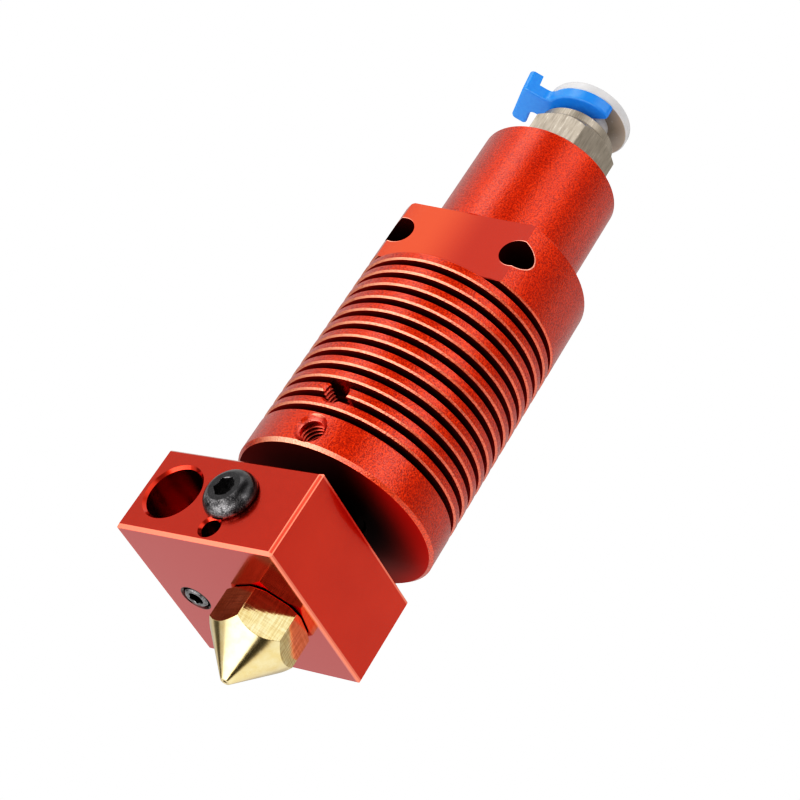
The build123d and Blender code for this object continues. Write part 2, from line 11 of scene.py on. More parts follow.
import bmesh
import bpy
from mathutils import Matrix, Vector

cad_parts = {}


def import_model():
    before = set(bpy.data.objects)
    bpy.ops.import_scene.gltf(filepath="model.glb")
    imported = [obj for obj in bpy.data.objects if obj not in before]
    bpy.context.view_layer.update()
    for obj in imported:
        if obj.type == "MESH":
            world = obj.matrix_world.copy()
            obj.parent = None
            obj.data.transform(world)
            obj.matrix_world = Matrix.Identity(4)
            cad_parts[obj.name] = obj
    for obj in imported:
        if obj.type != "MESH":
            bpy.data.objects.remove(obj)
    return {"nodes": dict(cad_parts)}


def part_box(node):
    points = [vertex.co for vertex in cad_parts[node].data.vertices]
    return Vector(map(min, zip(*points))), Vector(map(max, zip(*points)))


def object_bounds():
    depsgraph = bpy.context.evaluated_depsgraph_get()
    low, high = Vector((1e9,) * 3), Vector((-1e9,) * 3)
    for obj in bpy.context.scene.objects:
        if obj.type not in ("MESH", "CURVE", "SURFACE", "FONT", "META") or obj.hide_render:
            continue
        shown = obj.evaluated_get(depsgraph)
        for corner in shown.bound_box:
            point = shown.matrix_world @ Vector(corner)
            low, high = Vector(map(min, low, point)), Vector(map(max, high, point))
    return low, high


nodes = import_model()["nodes"]
cad_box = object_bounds()
scene = bpy.context.scene

MM = 0.001
PER_METRE = 1000                            # millimetres in a metre


# ---------------------------------------------------------------- places measured on the CAD
def middle_xy(name):
    low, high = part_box(name)
    return (low.x + high.x) / 2, (low.y + high.y) / 2


AXIS_X, AXIS_Y = middle_xy("heatsink")      # filament axis, metres
BASE_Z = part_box("heatsink")[0].z            # heatsink's underside, metres


def side_turn(obj):
    """An object's turn about Z, within 45 degrees, from its largest upright face."""
    upright = (face for face in obj.data.polygons if abs(face.normal.z) < 0.01)
    normal = max(upright, key=lambda face: face.area).normal
    turn = math.atan2(normal.y, normal.x)
    while turn > math.pi / 4:
        turn -= math.pi / 2
    while turn < -math.pi / 4:
        turn += math.pi / 2
    return turn


def measure_block(obj, turn):
    """Half sizes along the block's own sides, and its centre, in millimetres."""
    cos, sin = math.cos(turn), math.sin(turn)
    points = [((v.co.x - AXIS_X) * PER_METRE, (v.co.y - AXIS_Y) * PER_METRE,
               (v.co.z - BASE_Z) * PER_METRE) for v in obj.data.vertices]
    spans = ([x * cos + y * sin for x, y, z in points],
             [-x * sin + y * cos for x, y, z in points],
             [z for x, y, z in points])
    half = [(max(span) - min(span)) / 2 for span in spans]
    along, across, height = [(max(span) + min(span)) / 2 for span in spans]
    return half, (along * cos - across * sin, along * sin + across * cos, height)


BLOCK_TURN = side_turn(nodes["heater_block"])
BLOCK_HALF, BLOCK_CENTRE = measure_block(nodes["heater_block"], BLOCK_TURN)

set_screw_x, set_screw_y = middle_xy("cartridge_set_screw")
SET_X, SET_Y = (set_screw_x - AXIS_X) * PER_METRE, (set_screw_y - AXIS_Y) * PER_METRE
VIEW_X, VIEW_Y = 0.5708, -0.8211            # level direction from the part towards the camera
HOLE_X, HOLE_Z, HOLE_R = 7.0, -BASE_Z * PER_METRE, 1.7      # the two carriage holes, at +-X
TAP_LOW_Z, TAP_HIGH_Z = 2.0, 6.85           # the two tapped holes, on the -Y side

# Ranges shared by several ramps
DOWN = (-0.95, -0.99)                       # normal z of faces that look straight down
MIDDLE = (0.3, 0.7)                         # the useful part of a noise's values


# ---------------------------------------------------------------- node helpers
class Graph:
    """Builds shader nodes; values may be sockets or numbers."""

    def __init__(self, owner, output):
        owner.use_nodes = True
        self.tree = owner.node_tree
        self.tree.nodes.clear()
        self.out = self.new(output)

    def new(self, kind, **props):
        node = self.tree.nodes.new(kind)
        for key, value in props.items():
            setattr(node, key, value)
        return node

    def put(self, socket, value):
        if isinstance(value, bpy.types.NodeSocket):
            self.tree.links.new(value, socket)
        else:
            socket.default_value = value

    def math(self, op, a, b=0.0, clamp=False):
        node = self.new("ShaderNodeMath", operation=op, use_clamp=clamp)
        self.put(node.inputs[0], a)
        self.put(node.inputs[1], b)
        return node.outputs[0]

    def add(self, a, b):
        return self.math("ADD", a, b)

    def mul(self, a, b):
        return self.math("MULTIPLY", a, b)

    def vector(self, op, a, b):
        node = self.new("ShaderNodeVectorMath", operation=op)
        self.put(node.inputs[0], a)
        self.put(node.inputs[1], b)
        return node.outputs["Value" if op == "DOT_PRODUCT" else 0]

    def ramp(self, value, start, end, low=0.0, high=1.0, smooth=False):
        """Runs from low to high while value runs from start to end, and holds outside."""
        node = self.new("ShaderNodeMapRange")
        node.interpolation_type = "SMOOTHSTEP" if smooth else "LINEAR"
        self.put(node.inputs["Value"], value)
        for key, number in zip(("From Min", "From Max", "To Min", "To Max"),
                               (start, end, low, high)):
            self.put(node.inputs[key], number)
        return node.outputs[0]

    def mixf(self, fac, a, b):
        """Number a where fac is 0, b where it is 1."""
        node = self.new("ShaderNodeMix", data_type="FLOAT")
        self.put(node.inputs["Factor"], fac)
        self.put(node.inputs[2], a)
        self.put(node.inputs[3], b)
        return node.outputs[0]

    def mix_shaders(self, fac, a, b):
        """Sends shader a to the output where fac is 0, b where it is 1."""
        node = self.new("ShaderNodeMixShader")
        for socket, source in zip(node.inputs, (fac, a, b)):
            self.put(socket, source)
        self.put(self.out.inputs[0], node.outputs[0])


class Finish(Graph):
    """A new material and its nodes."""

    def __init__(self, name):
        self.mat = bpy.data.materials.new(name)
        super().__init__(self.mat, "ShaderNodeOutputMaterial")

    def math(self, op, a, b=0.0, clamp=False):
        result = super().math(op, a, b, clamp)
        result.node.inputs[2].default_value = 0.0
        return result

    def sub(self, a, b):
        return self.math("SUBTRACT", a, b)

    def max(self, a, b):
        return self.math("MAXIMUM", a, b)

    def abs(self, a):
        return self.math("ABSOLUTE", a)

    def less(self, a, b):
        return self.math("LESS_THAN", a, b)

    def more(self, a, b):
        return self.math("GREATER_THAN", a, b)

    def between(self, value, low, high):
        return self.mul(self.more(value, low), self.less(value, high))

    def band(self, value, rise, fall):
        """Product of two ramps of one value."""
        return self.mul(self.ramp(value, *rise), self.ramp(value, *fall))

    def weigh(self, a, weight_a, b, weight_b):
        return self.add(self.mul(a, weight_a), self.mul(b, weight_b))

    def length(self, a, b):
        return self.math("SQRT", self.weigh(a, a, b, b))

    def coords(self):
        """Millimetres from the filament axis and the heatsink's underside."""
        node = self.new("ShaderNodeMapping")
        place = (-AXIS_X * PER_METRE, -AXIS_Y * PER_METRE, -BASE_Z * PER_METRE)
        node.inputs["Location"].default_value = place
        node.inputs["Scale"].default_value = (PER_METRE, PER_METRE, PER_METRE)
        self.put(node.inputs["Vector"], self.new("ShaderNodeTexCoord").outputs["Object"])
        return node.outputs[0]

    def block_coords(self, p):
        """Millimetres from the heater block's centre, along the block's own sides."""
        node = self.new("ShaderNodeMapping", vector_type="TEXTURE")
        self.put(node.inputs["Vector"], p)
        node.inputs["Location"].default_value = BLOCK_CENTRE
        node.inputs["Rotation"].default_value = (0, 0, BLOCK_TURN)
        return node.outputs[0]

    def split(self, vector):
        node = self.new("ShaderNodeSeparateXYZ")
        self.put(node.inputs[0], vector)
        return node.outputs[0], node.outputs[1], node.outputs[2]

    def join(self, *xyz):
        node = self.new("ShaderNodeCombineXYZ")
        for socket, value in zip(node.inputs, xyz):
            self.put(socket, value)
        return node.outputs[0]

    def radius(self, p, centre_x=0.0, centre_y=0.0):
        x, y, z = self.split(p)
        return self.length(self.sub(x, centre_x), self.sub(y, centre_y))

    def normal(self):
        """x, y and z of the face's own normal."""
        return self.split(self.new("ShaderNodeNewGeometry").outputs["True Normal"])

    def upright(self):
        """1 on upright faces, such as the flats of a hexagon."""
        return self.less(self.abs(self.normal()[2]), 0.05)

    def noise(self, p, scale, detail=2.0, rough=0.5):
        node = self.new("ShaderNodeTexNoise")
        for key, value in (("Vector", p), ("Scale", scale), ("Detail", detail),
                           ("Roughness", rough)):
            self.put(node.inputs[key], value)
        return node.outputs["Fac"]

    def cells(self, p, scale, smoothness):
        node = self.new("ShaderNodeTexVoronoi", feature="SMOOTH_F1")
        for key, value in (("Vector", p), ("Scale", scale), ("Smoothness", smoothness)):
            self.put(node.inputs[key], value)
        return node.outputs["Distance"]

    def mix(self, fac, a, b):
        """Colour a where fac is 0, b where it is 1."""
        node = self.new("ShaderNodeMix", data_type="RGBA")
        self.put(node.inputs["Factor"], fac)
        for socket, colour in ((node.inputs[6], a), (node.inputs[7], b)):
            self.put(socket, (*colour, 1.0) if isinstance(colour, tuple) else colour)
        return node.outputs[2]

    def bump(self, height, strength, depth, normal=None):
        """Shading normal with relief; depth in millimetres."""
        node = self.new("ShaderNodeBump")
        self.put(node.inputs["Strength"], strength)
        node.inputs["Distance"].default_value = depth * MM
        self.put(node.inputs["Height"], height)
        if normal is not None:
            self.put(node.inputs["Normal"], normal)
        return node.outputs[0]

    def rounded(self, radius):
        """Shading normal with the sharp edges eased over a radius in millimetres."""
        node = self.new("ShaderNodeBevel")
        node.samples = 4
        node.inputs["Radius"].default_value = radius * MM
        return node.outputs[0]

    def principled(self, **settings):
        """Ends the material; returns it."""
        node = self.new("ShaderNodeBsdfPrincipled")
        for key, value in settings.items():
            socket = node.inputs[key.replace("_", " ")]
            if socket.type == "RGBA" and isinstance(value, tuple):
                value = (*value, 1.0)
            self.put(socket, value)
        self.put(self.out.inputs[0], node.outputs[0])
        return self.mat


def scaled(colour, factor):
    return tuple(channel * factor for channel in colour)


# ---------------------------------------------------------------- materials
def anodised_blasted():
    """Heatsink: red dye, blasted on the outside diameters, smoother where milled or parted."""
    t = Finish("anodised_blasted")
    p = t.coords()
    x, y, z = t.split(p)
    nx, ny, nz = t.normal()
    r = t.radius(p)

    # Zones: the milled flat facing -Y, the outside, the underside and the stack of fins
    flat = t.mul(t.ramp(ny, -0.999, -0.9995), t.band(z, (26.0, 26.4), (34.45, 34.4)))
    outer = t.max(t.ramp(r, 9.5, 10.7), t.ramp(z, 34.3, 34.6))
    under = t.mul(t.ramp(nz, *DOWN), t.ramp(z, 0.5, 0.2))
    fins = t.band(z, (3.5, 3.6), (26.6, 26.5))
    skin = t.mul(outer, t.sub(1.0, t.max(t.mul(flat, 0.88), under)))

    # Blasted relief; the coat follows a softer copy of it
    grain = t.weigh(t.noise(p, 5.6, rough=0.6), 0.8, t.cells(p, 6.4, smoothness=0.5), 0.4)
    relief = t.bump(grain, t.mixf(skin, 0.03, 1.0), depth=0.085)
    fine = t.noise(p, 15.0, rough=0.6)
    relief = t.bump(fine, t.mixf(skin, 0.05, 0.7), depth=0.010, normal=relief)
    coat_relief = t.bump(grain, t.mixf(skin, 0.03, 1.0), depth=0.018)

    # Uneven dye, dark in the pits of the grain
    tone = t.noise(p, 0.22)
    colour = t.mix(t.ramp(tone, *MIDDLE), (0.86, 0.052, 0.003), (0.79, 0.044, 0.0025))
    peaks = t.ramp(grain, 0.46, 0.70)
    pits = t.mul(t.sub(1.0, peaks), t.mul(skin, 0.75))
    colour = t.mix(pits, colour, (0.30, 0.008, 0.0012))

    # Painted highlight on the lower edges of the fins, paler towards -X
    fin_edge_highlight = t.mul(fins, t.band(nz, (-0.45, -0.6), (-0.9, -0.8)))
    fin_edge_highlight = t.mul(fin_edge_highlight, t.ramp(x, -1.0, 9.5, low=1.0, high=0.42))
    highlight_grain = t.ramp(grain, 0.35, 0.62, low=0.45)
    colour = t.mix(t.mul(fin_edge_highlight, highlight_grain), colour, (1.0, 0.36, 0.22))

    # Painted highlight on the bottom rim, strongest a little to -X
    rim_highlight = t.mul(t.ramp(z, 0.42, 0.38), t.mul(t.ramp(r, 10.5, 10.6), t.ramp(nz, -0.3, -0.6)))
    rim_highlight = t.mul(t.mul(rim_highlight, t.ramp(nz, -0.97, -0.9)),
                     t.band(x, (-7.5, -2.5, 0.1, 0.85, True), (-1.0, 6.0, 1.0, 0.12, True)))
    colour = t.mix(rim_highlight, colour, (1.0, 0.46, 0.30))

    # Painted shade in the grooves between the fins, lighter on the fins' undersides, except around
    # the tapped holes
    level = t.ramp(t.abs(nz), 0.95, 0.99)
    groove = t.mul(fins, t.max(t.ramp(r, 10.6, 10.2), level))
    tapped = t.mul(t.less(t.abs(x), 1.72), t.less(y, -7.6))
    from_tap_z = t.math("MINIMUM", t.abs(t.sub(z, TAP_LOW_Z)), t.abs(t.sub(z, TAP_HIGH_Z)))
    tapped = t.mul(tapped, t.less(from_tap_z, 1.75))
    groove = t.mul(groove, t.sub(1.0, tapped))
    lit = t.mul(t.ramp(r, 9.6, 10.9), t.ramp(nz, -0.9, -0.97))
    groove_shade_colour = t.mix(lit, (0.10, 0.003, 0.0015), (0.42, 0.010, 0.006))
    colour = t.mix(t.mul(groove, 0.84), colour, groove_shade_colour)
    # Painted highlight at the outer edge of the tapped holes
    tap_highlight = t.mul(tapped, t.ramp(r, 10.8, 10.6, high=0.7))
    colour = t.mix(tap_highlight, colour, (1.0, 0.20, 0.15))

    # Painted shade in the sunk ring around the lower tapped hole, stronger towards +X
    tap_z = t.sub(z, t.mixf(t.more(z, 4.4), TAP_LOW_Z, TAP_HIGH_Z))
    from_tap = t.length(x, tap_z)
    countersink_shade = t.mul(t.between(from_tap, 1.28, 2.2), t.mul(t.less(y, -7.6), t.less(r, 10.97)))
    countersink_shade = t.mul(countersink_shade, t.less(t.abs(nz), 0.92))
    countersink_shade = t.mul(countersink_shade, t.mul(t.less(z, 3.99), t.more(z, 0.46)))
    countersink_shade_fade = t.ramp(x, -1.2, 0.8, low=0.15, high=0.7)
    colour = t.mix(t.mul(countersink_shade, countersink_shade_fade), colour, (0.36, 0.014, 0.005))

    # Underside: painted shade, lighter and redder towards +X and the rim; flat: painted light,
    # brightest between the left end and the middle
    rim = t.mul(t.ramp(x, 2.5, 9.5, smooth=True), t.ramp(r, 7.0, 10.6, low=0.25))
    colour = t.mix(under, colour, t.mix(rim, (0.16, 0.009, 0.002), (0.48, 0.013, 0.004)))
    glow = t.band(x, (-9.8, -5.5, 0.45, 1.0, True), (-4.0, 2.5, 1.0, 0.0, True))
    colour = t.mix(flat, colour, t.mix(glow, (0.27, 0.017, 0.0065), (0.44, 0.054, 0.019)))

    # Carriage holes: painted shade inside, with a painted highlight on the lip on the side away from
    # the axis
    hole_x = t.sub(t.abs(x), HOLE_X)
    hole_z = t.sub(z, HOLE_Z)
    hole = t.less(t.length(hole_x, hole_z), HOLE_R + 0.03)
    colour = t.mix(t.mul(hole, 0.9), colour, (0.05, 0.0015, 0.0008))
    lip_highlight = t.less(t.length(hole_x, hole_z), HOLE_R + 0.11)
    lip_highlight = t.mul(t.sub(lip_highlight, hole), t.ramp(hole_x, -1.2, 0.6, high=0.9))
    colour = t.mix(lip_highlight, colour, (1.0, 0.45, 0.34))

    # Painted shade, nearly black, around and inside the bottom bore
    bore_shade = t.mul(t.ramp(r, 4.2, 8.0, low=1.0, high=0.0, smooth=True), t.less(z, 0.7))
    bore_shade = t.max(bore_shade, t.mul(t.less(r, 4.6), t.less(z, 2.5)))
    colour = t.mix(bore_shade, colour, (0.02, 0.0008, 0.0004))

    hole = t.max(hole, bore_shade)
    rough = t.mixf(skin, 0.24, t.ramp(grain, 0.4, 0.8, low=0.38, high=0.28))
    rough = t.mixf(under, rough, 0.5)
    rough = t.mixf(t.max(hole, groove), rough, 0.6)
    dull = t.max(under, t.max(hole, t.mul(groove, 0.8)))
    return t.principled(
        Base_Color=colour, Metallic=1.0, Roughness=rough, Normal=relief,
        Coat_Weight=t.mixf(dull, t.mixf(skin, 0.2, 0.55), 0.04),
        Coat_Roughness=0.15, Coat_IOR=1.6, Coat_Normal=coat_relief)


def anodised_satin():
    """Heater block: satin red with painted highlights on the chamfers."""
    t = Finish("anodised_satin")
    half_x, half_y, half_z = BLOCK_HALF
    p = t.coords()
    nx, ny, nz = t.normal()
    bottom = t.ramp(nz, *DOWN)

    # Very light milling lines and a faint orange peel of the dyed skin
    lines = t.noise(t.vector("MULTIPLY", p, (0.35, 9.0, 9.0)), 1.0, rough=0.6)
    peel = t.noise(p, 1.6, detail=3.0, rough=0.55)
    relief = t.bump(lines, strength=0.2, depth=0.003)
    relief = t.bump(peel, strength=0.3, depth=0.005, normal=relief)
    tone = t.noise(p, 0.12)
    colour = t.mix(t.ramp(tone, *MIDDLE), (0.70, 0.042, 0.014), (0.63, 0.034, 0.011))

    # A chamfer is where two of the block's sides are near
    chamfer = 0.35
    bx, by, bz = t.split(t.block_coords(p))

    def near_side(place, half):
        return t.ramp(t.abs(place), half - 0.36, half - 0.33)

    near = t.add(t.add(near_side(bx, half_x), near_side(by, half_y)), near_side(bz, half_z))
    chamfer_highlight = t.math("SUBTRACT", near, 1.0, clamp=True)
    # The painted highlight on upright chamfers runs only along their two borders
    upright = t.sub(1.0, near_side(bz, half_z))
    across = t.abs(t.sub(t.sub(t.abs(bx), half_x - chamfer), t.sub(t.abs(by), half_y - chamfer)))
    chamfer_highlight = t.mul(chamfer_highlight, t.mixf(upright, 1.0, t.ramp(across, 0.14, 0.22, low=0.12)))
    # The painted highlight is faint on chamfers away from the two sides towards the camera
    seen = t.max(t.less(by, -half_y + 0.37), t.more(bx, half_x - 0.37))
    chamfer_highlight = t.mul(chamfer_highlight, t.mixf(seen, 0.15, 1.0))

    # Painted shade on the front side, facing the block's own -Y
    facing = t.weigh(nx, math.sin(BLOCK_TURN), ny, -math.cos(BLOCK_TURN))
    colour = t.mix(t.ramp(facing, 0.9, 0.99), colour, (0.60, 0.036, 0.014))

    # Underside: a pinkish painted reflection, left out where it mirrors the nozzle; painted shade
    # around the nozzle
    x, y, z = t.split(p)
    sideways = t.weigh(x, VIEW_Y, y, -VIEW_X)
    towards = t.weigh(x, VIEW_X, y, VIEW_Y)
    mirror = t.mul(t.ramp(t.abs(sideways), 4.6, 4.0), t.band(towards, (0.0, 1.0), (10.0, 8.5)))
    colour = t.mix(bottom, colour, t.mix(mirror, (0.58, 0.082, 0.076), (0.80, 0.030, 0.008)))
    nozzle_shade = t.mul(bottom, t.ramp(t.radius(p), 4.4, 4.1, high=0.5))
    colour = t.mix(nozzle_shade, colour, (0.34, 0.009, 0.004))
    colour = t.mix(chamfer_highlight, colour, (1.0, 0.24, 0.15))

    # Painted shade inside the set screw's hole and the nozzle's hole
    seat = t.less(t.radius(p, SET_X, SET_Y), 1.75)
    mouth = t.mul(t.less(t.radius(p), 3.75), t.less(bz, -half_z + 0.6))
    hole_shade = t.max(seat, t.mul(mouth, t.sub(1.0, bottom)))
    colour = t.mix(hole_shade, colour, (0.05, 0.003, 0.002))
    return t.principled(
        Base_Color=colour, Metallic=1.0, Normal=relief,
        Roughness=t.mixf(bottom, t.ramp(peel, *MIDDLE, low=0.20, high=0.25), 0.15),
        Coat_Weight=t.mixf(bottom, 0.4, t.mixf(mirror, 0.36, 0.05)),
        Coat_Roughness=0.07, Coat_IOR=1.62, Coat_Normal=relief)


def brass_polished():
    """Nozzle: fine turned rings on the cone, crossed milling marks on the hexagon."""
    t = Finish("nozzle_brass")
    p = t.coords()
    x, y, z = t.split(p)
    facet = t.upright()
    rings = t.noise(t.join(0.0, 0.0, z), 9.0, detail=3.0, rough=0.7)
    angle = t.math("ARCTAN2", y, x)

    def marks(around, along):
        """Noise stretched by its rates around and along the axis."""
        return t.noise(t.join(t.mul(angle, around), 0.0, t.mul(z, along)), 1.3, detail=1.0)

    mill = t.weigh(marks(16.0, 0.35), 0.6, marks(1.0, 4.2), 0.4)
    relief = t.bump(t.mixf(facet, rings, mill), t.mixf(facet, 0.35, 0.55), depth=0.011,
                    normal=t.rounded(0.09))
    # Uneven brass, browner in the milling marks
    tone = t.noise(p, 0.8, detail=3.0, rough=0.6)
    colour = t.mix(t.ramp(tone, 0.35, 0.7), (0.90, 0.74, 0.42), (0.82, 0.62, 0.29))
    marked = t.mul(facet, t.ramp(mill, 0.42, 0.58, low=0.5, high=0.0))
    colour = t.mix(marked, colour, (0.42, 0.27, 0.09))
    tangent = t.new("ShaderNodeTangent", direction_type="RADIAL", axis="Z")
    return t.principled(
        Base_Color=colour, Metallic=1.0, Roughness=t.mixf(facet, 0.13, 0.09), Normal=relief,
        Anisotropic=t.mixf(facet, 0.5, 0.0), Tangent=tangent.outputs[0])


def black_oxide():
    """Screws: black; faces that look down get a painted grey sheen in patches, with painted glints.
    """
    t = Finish("black_oxide")
    p = t.coords()
    patches = t.noise(p, 1.8, detail=4.0, rough=0.65)
    specks = t.noise(p, 7.5, detail=3.0, rough=0.6)
    grey_patches = t.ramp(patches, 0.36, 0.60, smooth=True)
    # Painted sheen on faces that look down
    shade = t.ramp(t.normal()[2], -0.44, 0.02, low=1.0, high=0.10, smooth=True)
    colour = t.mix(t.mul(grey_patches, shade), (0.022, 0.021, 0.023), (0.145, 0.14, 0.145))
    # Painted glints from the specks on faces that look down
    sheen_glints = t.mul(shade, t.ramp(specks, 0.52, 0.64, high=0.7))
    colour = t.mix(sheen_glints, colour, (0.36, 0.345, 0.35))
    return t.principled(
        Base_Color=colour, Metallic=0.9,
        Roughness=t.ramp(patches, *MIDDLE, low=0.34, high=0.22),
        Normal=t.bump(specks, strength=0.7, depth=0.020, normal=t.rounded(0.06)),
        Specular_IOR_Level=0.6, Coat_Weight=0.5, Coat_Roughness=0.12)


def nickel():
    """Coupler body: turned lines, with upright streaks on the hexagon."""
    t = Finish("nickel_plate")
    p = t.coords()
    x, y, z = t.split(p)
    angle = t.math("ARCTAN2", y, x)
    turned = t.join(t.mul(angle, 1.2), t.radius(p), t.mul(z, 9.0))
    lines = t.noise(turned, 1.4, detail=3.0, rough=0.65)
    tone = t.noise(p, 0.7, detail=3.0, rough=0.55)
    colour = t.mix(t.ramp(tone, 0.3, 0.75), (0.48, 0.425, 0.355), (0.41, 0.36, 0.295))
    facet = t.upright()
    streak = t.noise(t.join(t.mul(angle, 9.0), 0.0, t.mul(z, 0.16)), 2.4, detail=3.0, rough=0.7)
    # Dark streaks, then pale ones: noise range and colour
    for start, end, tint in ((0.5, 0.62, (0.30, 0.26, 0.215)), (0.42, 0.34, (0.80, 0.72, 0.63))):
        colour = t.mix(t.mul(facet, t.ramp(streak, start, end, high=0.5)), colour, tint)
    rough = t.mixf(facet, t.ramp(lines, *MIDDLE, low=0.20, high=0.32),
                   t.ramp(streak, 0.35, 0.65, low=0.40, high=0.50))
    relief = t.bump(lines, strength=0.55, depth=0.006, normal=t.rounded(0.10))
    return t.principled(Base_Color=colour, Metallic=1.0, Roughness=rough, Normal=relief)


def turned_metal(name, colour, rough, gap_shade=False):
    """Metal with fine turned rings; optionally painted shade darkens it between the heatsink and the
    block.
    """
    t = Finish(name)
    p = t.coords()
    x, y, z = t.split(p)
    rings = t.noise(t.join(0.0, t.radius(p), z), 6.0, detail=3.0, rough=0.7)
    tone = t.noise(p, 0.5, detail=3.0, rough=0.55)
    tint = t.mix(t.ramp(tone, *MIDDLE), colour, scaled(colour, 0.82))
    dull = 0.0
    if gap_shade:
        # Painted shade in the gap between the heatsink and the block
        dull = t.between(z, -2.5, 1.5)
        tint = t.mix(dull, tint, (0.016, 0.010, 0.009))
    return t.principled(
        Base_Color=tint, Metallic=1.0,
        Roughness=t.mixf(dull, t.ramp(rings, *MIDDLE, low=rough, high=rough + 0.12), 0.6),
        Normal=t.bump(rings, strength=0.5, depth=0.008))


def plastic(name, colours, rough, scatter, reach, below=None, glow=None):
    """Moulded plastic; reach is the scatter per channel in mm, below is a colour of painted shade for
    the underside, lighter outwards, and glow is a painted glow.
    """
    t = Finish(name)
    p = t.coords()
    mottle = t.noise(p, 2.2, detail=3.0, rough=0.55)
    fine = t.noise(p, 12.0)
    colour = t.mix(t.ramp(mottle, *MIDDLE), *colours)
    if below:
        # Painted shade on faces that look down, lighter outwards
        facing_down = t.ramp(t.normal()[2], -0.9, -0.97)
        outwards = t.ramp(t.radius(p), 3.2, 4.9)
        colour = t.mix(facing_down, colour,
                       t.mix(outwards, scaled(below, 0.72), scaled(below, 1.15)))
    relief = t.bump(mottle, strength=0.25, depth=0.010)
    relief = t.bump(fine, strength=0.2, depth=0.003, normal=relief)
    # Emission as a painted glow
    emission = dict(Emission_Color=glow, Emission_Strength=1.0) if glow else {}
    return t.principled(
        Base_Color=colour, Roughness=t.ramp(mottle, *MIDDLE, low=rough, high=rough + 0.08),
        Normal=relief, IOR=1.48, Subsurface_Weight=scatter, Subsurface_Radius=reach,
        Subsurface_Scale=MM, **emission)


def rubber():
    t = Finish("seal_rubber")
    grain = t.noise(t.coords(), 6.0, detail=3.0, rough=0.6)
    return t.principled(
        Base_Color=t.mix(grain, (0.012, 0.012, 0.012), (0.03, 0.03, 0.03)), Roughness=0.55,
        Normal=t.bump(grain, strength=0.4, depth=0.01))


def use(material, *names):
    """Gives CAD nodes their finish."""
    for name in names:
        slots = nodes[name].data.materials
        slots.clear()
        slots.append(material)


use(anodised_blasted(), "heatsink")
use(anodised_satin(), "heater_block")
use(brass_polished(), "nozzle")
use(black_oxide(), "thermistor_screw", "cartridge_set_screw", "heatbreak_lock_screws")
use(nickel(), "coupler_body")
use(turned_metal("stainless", (0.56, 0.55, 0.53), rough=0.24, gap_shade=True), "heatbreak")
use(turned_metal("spring_steel", (0.60, 0.59, 0.57), rough=0.22), "coupler_grip_ring")
use(turned_metal("retainer_brass", (0.80, 0.60, 0.28), rough=0.2), "coupler_retainer")
use(plastic("natural_nylon", ((0.80, 0.77, 0.68), (0.74, 0.70, 0.60)), rough=0.42,
            scatter=0.2, reach=(1.0, 0.8, 0.6)), "coupler_backup_ring")
use(rubber(), "coupler_seal_ring")
# The collet's below colour is painted shade on its underside
use(plastic("collet_white", ((0.69, 0.68, 0.69), (0.65, 0.64, 0.64)), rough=0.20,
            scatter=0.35, reach=(1.2, 1.1, 1.0), below=(0.42, 0.35, 0.29)), "release_collet")
# The clip's glow is painted light
use(plastic("clip_blue", ((0.032, 0.27, 0.78), (0.026, 0.24, 0.74)), rough=0.17,
            scatter=0.15, reach=(0.25, 0.5, 1.2), glow=(0.001, 0.012, 0.08)), "collet_clip")

# ---------------------------------------------------------------- camera
# The camera's own axes and its place, in metres
CAMERA_FRAME = (
    (0.841254, 0.260474, 0.473756, 0),      # right
    (-0.211502, -0.64789, 0.731782, 0),     # up
    (0.497552, -0.715815, -0.48995, 0),     # back
    (0.102314, -0.140096, -0.11673, 1),     # place
)
cam_data = bpy.data.cameras.new("camera")
cam = bpy.data.objects.new("camera", cam_data)
scene.collection.objects.link(cam)
cam_data.sensor_width = 36.0
cam_data.lens = 91.475
cam_data.clip_start, cam_data.clip_end = 0.01, 10.0
cam.matrix_world = Matrix(CAMERA_FRAME).transposed()
scene.camera = cam


# ---------------------------------------------------------------- floor
def floor_material():
    """Pale from above, clear from below."""
    t = Finish("floor")
    pale = t.new("ShaderNodeBsdfDiffuse")
    pale.inputs["Color"].default_value = (0.86, 0.86, 0.86, 1)
    t.mix_shaders(t.new("ShaderNodeNewGeometry").outputs["Backfacing"], pale.outputs[0],
                  t.new("ShaderNodeBsdfTransparent").outputs[0])
    return t.mat


def build_floor(radius=1.4, gap=0.0006):
    """Disc just under the part, hidden from all but camera rays."""
    bm = bmesh.new()
    bmesh.ops.create_circle(bm, cap_ends=True, cap_tris=False, segments=96, radius=radius)
    mesh = bpy.data.meshes.new("floor")
    bm.to_mesh(mesh)
    bm.free()
    floor = bpy.data.objects.new("floor", mesh)
    scene.collection.objects.link(floor)
    floor.location = (AXIS_X, AXIS_Y, cad_box[0].z - gap)
    mesh.materials.append(floor_material())
    floor.visible_diffuse = False
    floor.visible_glossy = False
    floor.visible_transmission = False
    floor.visible_shadow = False


build_floor()

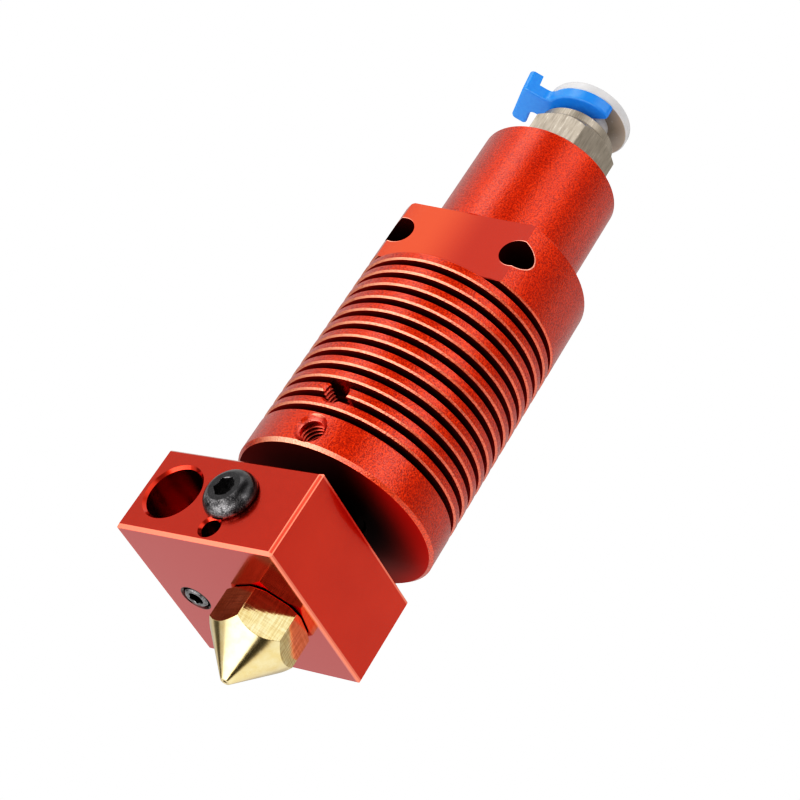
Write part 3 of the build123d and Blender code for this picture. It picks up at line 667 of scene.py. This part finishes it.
# ---------------------------------------------------------------- soft studio light, in the world
# (azimuth, strength), in degrees from the camera's own azimuth, negative to the camera's left.
# From above the horizon down to straight below:
UPPER = [
    (-180, .5), (-150, .55), (-125, .66), (-105, .70), (-96, .70), (-87, .74), (-81, 1.2),
    (-75, 1.9), (-68, 2.3), (-60, 2.2), (-50, 1.2), (-38, .35), (-24, .20), (-12, .6), (0, 1.35),
    (12, 1.6), (25, 1.05), (38, .45), (52, .27), (64, .33), (80, .56), (95, .76), (115, .55),
    (150, .5), (180, .5)]
RING = [
    (-180, .72), (-160, .75), (-148, .6), (-138, .12), (-114, .10), (-107, .8), (-100, 1.5),
    (-60, 1.5), (-40, .5), (-10, .25), (10, .25), (30, .15), (50, .15), (64, .6), (80, 1.0),
    (110, 1.05), (140, .9), (160, .75), (180, .72)]
LOW = [
    (-180, .72), (-160, .75), (-140, .62), (-115, .6), (-107, .8), (-100, 1.5), (-60, 1.5),
    (-40, .55), (-15, .32), (10, .32), (30, .4), (50, .45), (64, .6), (80, 1.0), (110, 1.05),
    (140, .9), (160, .75), (180, .72)]
NADIR = [
    (-180, 1.2), (-150, 1.1), (-120, 1.0), (-104, 1.6), (-80, 2.4), (-50, 2.8), (-20, 2.8),
    (5, 2.2), (13, .7), (20, .1), (50, .08), (58, .4), (70, 1.0), (100, 1.1), (180, 1.2)]


def add_points(curve, points):
    """Moves a curve's two end points and adds the ones between."""
    curve.points[0].location = points[0]
    curve.points[1].location = points[-1]
    for point in points[1:-1]:
        curve.points.new(*point)


def azimuth_curve(w, turn, table, top):
    """Strength over azimuth; turn runs 0..1 for -180..180 degrees, top scales the curve."""
    node = w.new("ShaderNodeFloatCurve")
    w.put(node.inputs["Value"], turn)
    add_points(node.mapping.curves[0], [((az + 180) / 360, s / top) for az, s in table])
    node.mapping.update()
    return w.mul(node.outputs[0], top)


def background(w, colour, strength):
    node = w.new("ShaderNodeBackground")
    node.inputs["Color"].default_value = colour
    w.put(node.inputs["Strength"], strength)
    return node.outputs[0]


def build_world():
    """The camera sees plain white; everything else is lit by the tables."""
    world = bpy.data.worlds.new("studio")
    scene.world = world
    w = Graph(world, "ShaderNodeOutputWorld")
    cam_az = math.atan2(cam.location.y - AXIS_Y, cam.location.x - AXIS_X)
    ray = w.new("ShaderNodeTexCoord").outputs["Generated"]

    def dot(*direction):
        return w.vector("DOT_PRODUCT", ray, direction)

    along = dot(math.cos(cam_az), math.sin(cam_az), 0)
    side = dot(-math.sin(cam_az), math.cos(cam_az), 0)
    up = dot(0, 0, 1)
    turn = w.add(w.math("DIVIDE", w.math("ARCTAN2", side, along), 2 * math.pi), 0.5)
    upper, ring, low, nadir = [azimuth_curve(w, turn, table, top) for table, top in
                               ((UPPER, 3.2), (RING, 2.0), (LOW, 2.0), (NADIR, 3.2))]

    # Each change of table fades over a range of the ray's upward part; overhead is even
    strength = nadir
    for start, end, above in ((-0.66, -0.54, low), (-0.42, -0.34, ring),
                              (-0.16, 0.14, upper), (0.78, 0.95, 1.0)):
        strength = w.mixf(w.ramp(up, start, end, smooth=True), strength, above)

    # One extra low soft box, in front and a little to the right
    box_az, box_rise = cam_az + math.radians(26), math.radians(16)
    box = dot(math.cos(box_az) * math.cos(box_rise), math.sin(box_az) * math.cos(box_rise),
              math.sin(box_rise))
    glow = w.ramp(box, math.cos(math.radians(22)), math.cos(math.radians(6)), smooth=True)
    strength = w.add(strength, w.mul(glow, 1.5))
    w.mix_shaders(w.new("ShaderNodeLightPath").outputs["Is Camera Ray"],
                  background(w, (1.0, 0.995, 0.985, 1), strength),
                  background(w, (1, 1, 1, 1), 1.0))


build_world()

# ---------------------------------------------------------------- picture: deep shadows, clean whites
view = scene.view_settings
view.view_transform = "Standard"
view.look = "None"
view.exposure = 0.0
view.gamma = 1.0
view.use_curve_mapping = True
add_points(view.curve_mapping.curves[3], [
    (0.0, 0.0), (0.02, 0.007), (0.06, 0.038), (0.15, 0.13), (0.4, 0.43), (0.75, 0.82), (1.0, 1.0)])
view.curve_mapping.update()
